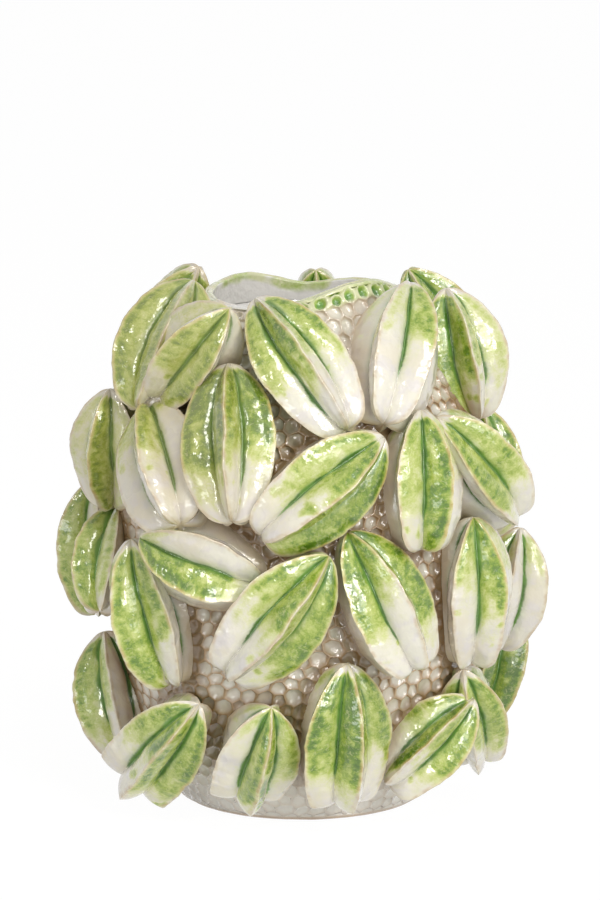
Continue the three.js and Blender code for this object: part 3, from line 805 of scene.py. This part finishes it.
class Skin:
    """Points, faces and looks of all cells, which share their crests."""

    def __init__(self):
        cells = cell_borders(skin_lattice())
        self.rows, self.faces, self.owner, self.shared = [], [], [], {}
        self.middle = np.array([min(max(site.arc, ARC_LOW), ARC_TOP) for site, _ in cells])
        point, normal = skin_point(np.array([site.bearing for site, _ in cells]), self.middle)
        clearance = np.maximum(fruit_clearance(point + normal * 0.5), fruit_clearance(point - normal))
        for index, (site, corners) in enumerate(cells):
            if clearance[index] < HIDDEN:
                self.cover(index, site, self.crests(corners))
            else:
                self.press(index, site, self.crests(corners))
        self.settle()

    def add(self, bearing, arc, height, look):
        self.rows.append((bearing, arc, height, look))
        return len(self.rows) - 1

    def add_face(self, index, *face):
        self.faces.append(face)
        self.owner.append(index)

    def crests(self, corners):
        """A cell's corners and the middles between them, made once for all the cells that share them."""
        loop = []
        for (key, bearing, arc), (after, far_bearing, far_arc) in zip(corners, corners[1:] + corners[:1]):
            if key not in self.shared:
                self.shared[key] = self.add(bearing, arc, 0.0, CREST_LOOK)
            pair = tuple(sorted((key, after)))
            if pair not in self.shared:
                half = turn_from(bearing, far_bearing) / 2
                self.shared[pair] = self.add(bearing + half, (arc + far_arc) / 2, -0.12, CREST_LOOK)
            loop += [self.shared[key], self.shared[pair]]
        return loop

    def outline(self, site, loop):
        """Bearings and distances of a loop, and their middle."""
        bearing, arc = np.array([self.rows[i][:2] for i in loop]).T
        bearing = site.bearing + turn_from(site.bearing, bearing)
        return bearing, arc, bearing.mean(), arc.mean()

    def close(self, index, loop, middle):
        for k, point in enumerate(loop):
            self.add_face(index, point, loop[(k + 1) % len(loop)], middle)

    def cover(self, index, site, loop):
        """A plain hollow, for a cell that a fruit hides."""
        _, _, bearing, arc = self.outline(site, loop)
        self.close(index, loop, self.add(bearing, arc, -0.8, (0.0, site.tint, 0.0)))

    def press(self, index, site, loop):
        """A hollow pressed deeper at its upper right, its steep side painted tan and brown as pooled glaze
        and painted shade; or an eyelet.
        """
        bearing, arc, middle_bearing, middle_arc = self.outline(site, loop)
        mm_per_degree = math.pi * float(np.interp(middle_arc, ARC, OUTLINE[:, 0])) / 180
        dx, dy = (bearing - middle_bearing) * mm_per_degree, arc - middle_arc
        size = np.hypot(dx, dy)
        mean = size.mean()
        rim = 1.0 if site.eyelet else 0.0
        deep = 1.0 if site.eyelet else 1.75 + 0.9 * site.depth
        loops = EYELET_LOOPS if site.eyelet else CELL_LOOPS
        low, low_shift = EYELET_MIDDLE if site.eyelet else CELL_MIDDLE
        # the steep upper right side gets more tan and brown: partly pooled glaze, partly painted shade
        steep_shade = np.clip((dy * 0.8 + dx * 0.4) / mean, 0, 1) * (1 - rim)
        previous = loop
        for share, height, shift, crest in loops:
            fit = 0.9 if site.eyelet else (1 - share) ** 0.5 * 0.8
            k = share * (1 + (mean / size - 1) * fit)
            at_bearing = middle_bearing + (dx * k + shift * mean * 0.30) / mm_per_degree
            at_arc = middle_arc + dy * k + shift * mean * 0.55
            warm = np.minimum(crest + steep_shade * smooth(0.4, 0.85, share), 1.6)
            this = [self.add(at_bearing[q], at_arc[q], height * deep, (warm[q], site.tint, rim))
                    for q in range(len(loop))]
            for q in range(len(loop)):
                w = (q + 1) % len(loop)
                self.add_face(index, previous[q], previous[w], this[w], this[q])
            previous = this
        self.close(index, previous, self.add(middle_bearing + 0.30 * low_shift * mean / mm_per_degree,
                                             middle_arc + 0.55 * low_shift * mean, low * deep,
                                             (0.0, site.tint, rim)))

    def settle(self):
        """Lays the cells on the wall, flat where a fruit is joined to it."""
        bearing, arc, height = np.array([row[:3] for row in self.rows]).T
        points, normals = skin_point(bearing, arc)
        height = height + (0.1 - height) * smooth(3.4, 0.2, fruit_clearance(points))
        wobble = noise(points / 26.0, 5) * 0.5 + noise(points / 7.0, 6) * 0.12
        self.points = points + normals * (height + wobble - 0.35)[:, None]
        self.look = np.array([row[3] for row in self.rows])

    def part(self, low, high):
        """The cells whose middles lie between two distances up the wall."""
        pick = (self.middle > low) & (self.middle <= high)
        used, faces = {}, []
        for face, owner in zip(self.faces, self.owner):
            if pick[owner]:
                faces.append([used.setdefault(v, len(used)) for v in face])
        keep = np.array(list(used))
        return self.points[keep], faces, self.look[keep]


# Wall, base and rim

# How far under the relief its back lies, and the look and the thinness of the glaze inside
BACK, INNER_LOOK, THIN = 4.8, (0.2, 0.4, 0.0), 0.9
WALL_BEARINGS = np.linspace(-180, 180, 200, endpoint=False)
RIM_BEARINGS = np.linspace(-180, 180, 480, endpoint=False)


def lip_share(points):
    """How near a point is to the lip: 1 on it, 0 from 13 mm below."""
    return np.clip(1 - (lip_height(bearing_of(points)) - points[:, 2]) / 13, 0, 1)


def wear_and_shade(points, bare=0.0, band=0.0):
    """Bare clay, painted brown shade close under the fruits, and the thin tan line of the lip."""
    near = smooth(12.0, 1.0, fruit_clearance(points) + 1.5 * noise(points / 6.0, 61))
    shade = near * (wall_height(points) > -3.2) * smooth(2, 42, points[:, 2])
    shade = shade * (1 - 0.75 * smooth(215, 240, points[:, 2]))
    return np.stack(np.broadcast_arrays(bare, shade, band), -1)


def build_wall(skin, material):
    points, faces, look = skin.part(ARC_BASE, ARC_RIM)
    around = len(WALL_BEARINGS)
    bottom = BASE_THICKNESS + 0.3
    b = np.radians(WALL_BEARINGS)
    outer = [(wall_radius(z) - BACK * np.hypot(1, wall_slope(z)) * 0.9, z)
             for z in np.linspace(bottom, RIM_START, 36)]
    inner = []
    for z in np.linspace(RIM_START, bottom, 44):
        at = np.stack([np.sin(b) * 3, np.cos(b) * 3, np.full(around, z / 9.0)], 1)
        inner.append((inner_radius(z) + 0.5 * noise(at, 31) * smooth(RIM_START, RIM_START - 8, z), z))
    body = lathe(outer + inner, WALL_BEARINGS)
    everything = np.vstack([points, body])
    cell = np.vstack([look, np.tile(INNER_LOOK, (len(body), 1))])
    thin = np.concatenate([np.zeros(len(points) + len(outer) * around), np.full(len(inner) * around, THIN)])
    faces += grid_faces(len(outer) + len(inner), around, len(points), closed=True)
    obj = make_mesh("vessel_wall_relief", everything, faces,
                    {"cell": cell, "wear_and_shade": wear_and_shade(everything), "thin": thin})
    dress(obj, material, "vessel_wall")


def build_base(skin, material):
    points, faces, look = skin.part(-math.inf, ARC_BASE)
    around, rim, top = len(WALL_BEARINGS), FOOT_RADIUS, BASE_THICKNESS - 0.1
    loops = [(rim - 34, 0.9), (rim - 30, 0.9), (rim - 28.5, 0.3), (rim - 27, 0.0), (rim - 4, 0.0),
             (rim - 1.6, 0.15), (rim - 0.6, 0.8), (wall_radius(1.8) - 0.25, 1.9),
             (wall_radius(2.6) - 1.2, 2.8), (wall_radius(4.0) - 2.2, 4.0),
             (wall_radius(top) - BACK, top), (40.0, top)]
    body = lathe(loops, WALL_BEARINGS)
    wobble = noise(body / 9.0, 41) * 0.2 * (body[:, 2] > 0.1) * (body[:, 2] < 7)
    body[:, 2] = np.maximum(body[:, 2] + wobble, 0)
    first, last = len(points), len(points) + (len(loops) - 1) * around
    under, over = first + len(body), first + len(body) + 1
    faces += grid_faces(len(loops), around, first)
    for k in range(around):
        after = (k + 1) % around
        faces.append((under, first + after, first + k))
        faces.append((over, last + k, last + after))
    everything = np.vstack([points, body, [[0, 0, 0.9], [0, 0, top]]])
    cell = np.vstack([look, np.tile(INNER_LOOK, (len(body) + 2, 1))])
    bare = smooth(2.6, 1.4, everything[:, 2])
    obj = make_mesh("base_slab_clay", everything, faces, {"cell": cell, "wear_and_shade": wear_and_shade(everything, bare)})
    dress(obj, material, "base_slab")


def rim_body():
    """Points of loops up the outside, over the lip and down the throat; how many; which are inside."""
    lip, rows = lip_height(RIM_BEARINGS), []
    band = band_length(RIM_BEARINGS)

    def at(share, inset, lift=0.0):
        radius = wall_radius(RIM_START + RIM_BAND * share) - inset
        rows.append(round_points(RIM_BEARINGS, radius, RIM_START + (lip - RIM_START) * share + lift))

    for down in (40.0, 8.0, 5.0, 3.9, 3.2, 2.7, 2.2, 1.6, 1.0, 0.5):
        inset = BACK * smooth(2.4, 4.6, down) + 0.05 + 0.9 * smooth(1.6, 0.0, down) ** 2
        at(np.clip(1 - down / band, 0.02, 1), inset)
    for turn in np.linspace(0.1, 0.9, 8):
        a = math.pi * turn
        at(1.0, LIP * 0.4 - math.cos(a) * LIP * 0.34, math.sin(a) * 0.9 - 0.9)
    outside = len(rows)
    for share in np.linspace(0.94, 0.0, 16):
        throat = THROAT + (MOUTH_RADIUS - 3.6 - THROAT) * share
        at(share, wall_radius(RIM_START + RIM_BAND * share) - throat)
    body = np.vstack(rows)
    wobble = noise(body / 14.0, 51) * 0.35 + noise(body / 5.0, 52) * 0.12
    wobble = wobble * smooth(RIM_START, RIM_START + 3, body[:, 2])
    body[:, :2] *= 1 + (wobble / np.hypot(body[:, 0], body[:, 1]))[:, None]
    body[:, 2] += np.where(lip_share(body) > 0.8, noise(body / 8.0, 53) * 0.35, 0)
    return body, len(rows), np.arange(len(body)) >= outside * len(RIM_BEARINGS)


def build_rim(skin, material):
    points, faces, look = skin.part(ARC_RIM, math.inf)
    body, rows, inside = rim_body()
    faces += grid_faces(rows, len(RIM_BEARINGS), len(points), closed=True)
    everything = np.vstack([points, body])
    inside = np.concatenate([np.zeros(len(points), bool), inside])
    share, bearing = lip_share(everything), bearing_of(everything)

    # the green thins out at the front left, and runs down inside at the back left
    front_left = np.exp(-0.5 * (turn_from(-40, bearing) / 26) ** 2)
    back_left = np.exp(-0.5 * (turn_from(-158, bearing) / 30) ** 2)
    outer_green = smooth(0.05, 0.6, share) * (1 - 0.8 * front_left)
    inner_green = smooth(0.4 - 0.2 * back_left, 1.0 - 0.2 * back_left, share) * (0.5 + 0.25 * back_left)
    inner_green = inner_green * (0.9 + 0.5 * noise(everything / 7.0, 55))
    cell = np.vstack([look, np.tile(INNER_LOOK, (len(body), 1))])
    cell[:, 2] = np.where(inside, inner_green, outer_green)
    thin = np.concatenate([np.zeros(len(points)), np.full(len(body), THIN)])
    tan = smooth(0.90, 0.97, share) * (0.6 + 0.4 * noise(everything / 11.0, 54))
    obj = make_mesh("rim_band_relief", everything, faces,
                    {"cell": cell, "wear_and_shade": wear_and_shade(everything, 0.0, tan), "thin": thin})
    dress(obj, material, "rim_band")


# The pieces

fruit_material = fruit_glaze()
count = {}
for index, fruit in enumerate(FRUITS):
    count[fruit.row] = count.get(fruit.row, 0) + 1
    node = f"fruit_{fruit.row}_{count[fruit.row]}"
    piece = make_fruit(f"{node}_glazed", fruit, 100 + index)
    dress(piece, fruit_material, node)

skin = Skin()
wall_material = wall_glaze()
build_wall(skin, wall_material)
build_base(skin, wall_material)
build_rim(skin, wall_material)


# Camera at the photograph's angle, in metres

CAMERA_PLACE, CAMERA_TILT = (-0.00106, -3.0, 0.775), 78.88
LENS, SENSOR = 231.56, 36

camera = new_object("camera", bpy.data.cameras.new("camera"))
camera.data.lens, camera.data.sensor_width = LENS, SENSOR
camera.location = CAMERA_PLACE
camera.rotation_euler = (math.radians(CAMERA_TILT), 0, 0)
bpy.context.scene.camera = camera


# Soft studio light on a white floor, in metres and watts

WARM, COOL = (1, 0.98, 0.95), (0.96, 0.97, 1)
BODY, SHOULDERS, FOOT = (0, 0, 0.14), (0, 0, 0.2), (0, 0, 0.08)


def area(name, at, target, width, height, power, color=WARM):
    data = bpy.data.lights.new(name, "AREA")
    data.shape, data.size, data.size_y = "RECTANGLE", width, height
    data.energy, data.color = power, color
    obj = new_object(name, data)
    obj.location = at
    obj.rotation_euler = (Vector(target) - Vector(at)).to_track_quat("-Z", "Y").to_euler()
    return obj


area("softbox_right", (1.3, -1.95, 1.05), BODY, 0.9, 1.1, 13.5)
area("window_right", (1.3, -1.5, 1.0), BODY, 0.24, 0.42, 4.2)
area("window_left", (-1.2, -1.4, 1.35), BODY, 0.22, 0.36, 4.2)
area("window_top", (0.3, -1.15, 1.65), SHOULDERS, 0.5, 0.5, 11.0)
mirrored = area("window_front", (0.6, -2.4, 0.85), BODY, 0.42, 0.8, 17.0)
mirrored.visible_diffuse = False
area("card_left", (-1.3, -1.8, 0.22), FOOT, 0.8, 0.4, 4.5, COOL)
area("card_low", (0.85, -1.5, 0.1), FOOT, 0.6, 0.18, 1.8)

WORLD_FILL, FLOOR_COLOR, FLOOR_GLOW, FLOOR_SHOWN = 0.285, (0.94, 0.94, 0.94, 1), 1.05, 0.92
FLOOR_SIZE, FLOOR_LEVEL = 9000, -0.3

world = bpy.data.worlds.new("studio")
bpy.context.scene.world = world
n = Nodes(world, "ShaderNodeOutputWorld")
fill = n.glow("ShaderNodeBackground", WORLD_FILL, (1, 0.99, 0.97, 1))
n.finish(n.seen(), fill, n.glow("ShaderNodeBackground", 1.0))

corners = [(x * FLOOR_SIZE, y * FLOOR_SIZE, FLOOR_LEVEL) for x, y in ((-1, -1), (1, -1), (1, 1), (-1, 1))]
floor = make_mesh("floor", corners, [(0, 1, 2, 3)])
n = Nodes(bpy.data.materials.new("floor_white"))
soft = n.add("ShaderNodeBsdfDiffuse", {"Color": FLOOR_COLOR})
n.finish(n.times(n.seen(), FLOOR_SHOWN), soft.outputs[0], n.glow("ShaderNodeEmission", FLOOR_GLOW))
floor.data.materials.append(n.owner)

bpy.context.scene.view_settings.view_transform = "Standard"
